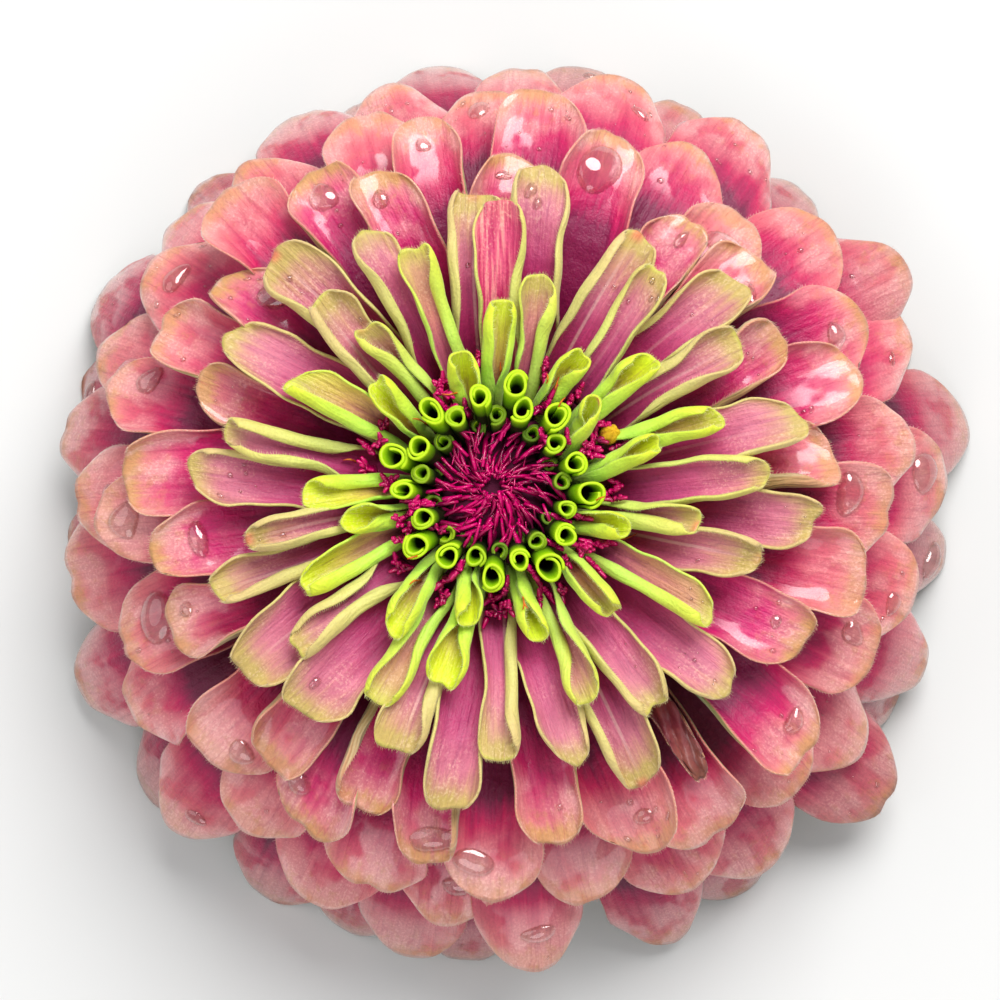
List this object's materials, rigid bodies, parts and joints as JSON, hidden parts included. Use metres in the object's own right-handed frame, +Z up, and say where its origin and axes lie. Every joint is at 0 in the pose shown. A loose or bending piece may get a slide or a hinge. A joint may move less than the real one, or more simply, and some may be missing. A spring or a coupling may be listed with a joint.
{
  "type": "zinnia flower",
  "caption": "Fully double garden zinnia head with lime quilled young florets opening to broad pink ray florets round a crimson centre, standing face up on its cut stem.",
  "frame": {"origin": "on the surface that the head stands on, in the middle of the space the head takes up in plan", "axes": "+Z up along the head's axis, out through the middle of the flower; +X and +Y across it, with +Y towards the top of the picture"},
  "size_m": [0.0778, 0.076, 0.0312],
  "materials": {
    "stem_green": "matte",
    "bract_green": "matte",
    "outer_petal_pink": "satin",
    "inner_petal_mauve": "satin",
    "quill_lime": "satin",
    "chaff_crimson": "satin"
  },
  "bodies": {
    "root": {"stem": "stem_green", "involucre": "bract_green", "outer_ray_florets": "outer_petal_pink", "inner_ray_florets": "inner_petal_mauve", "quill_florets": "quill_lime", "chaff": "chaff_crimson"}
  },
  "joints": []
}
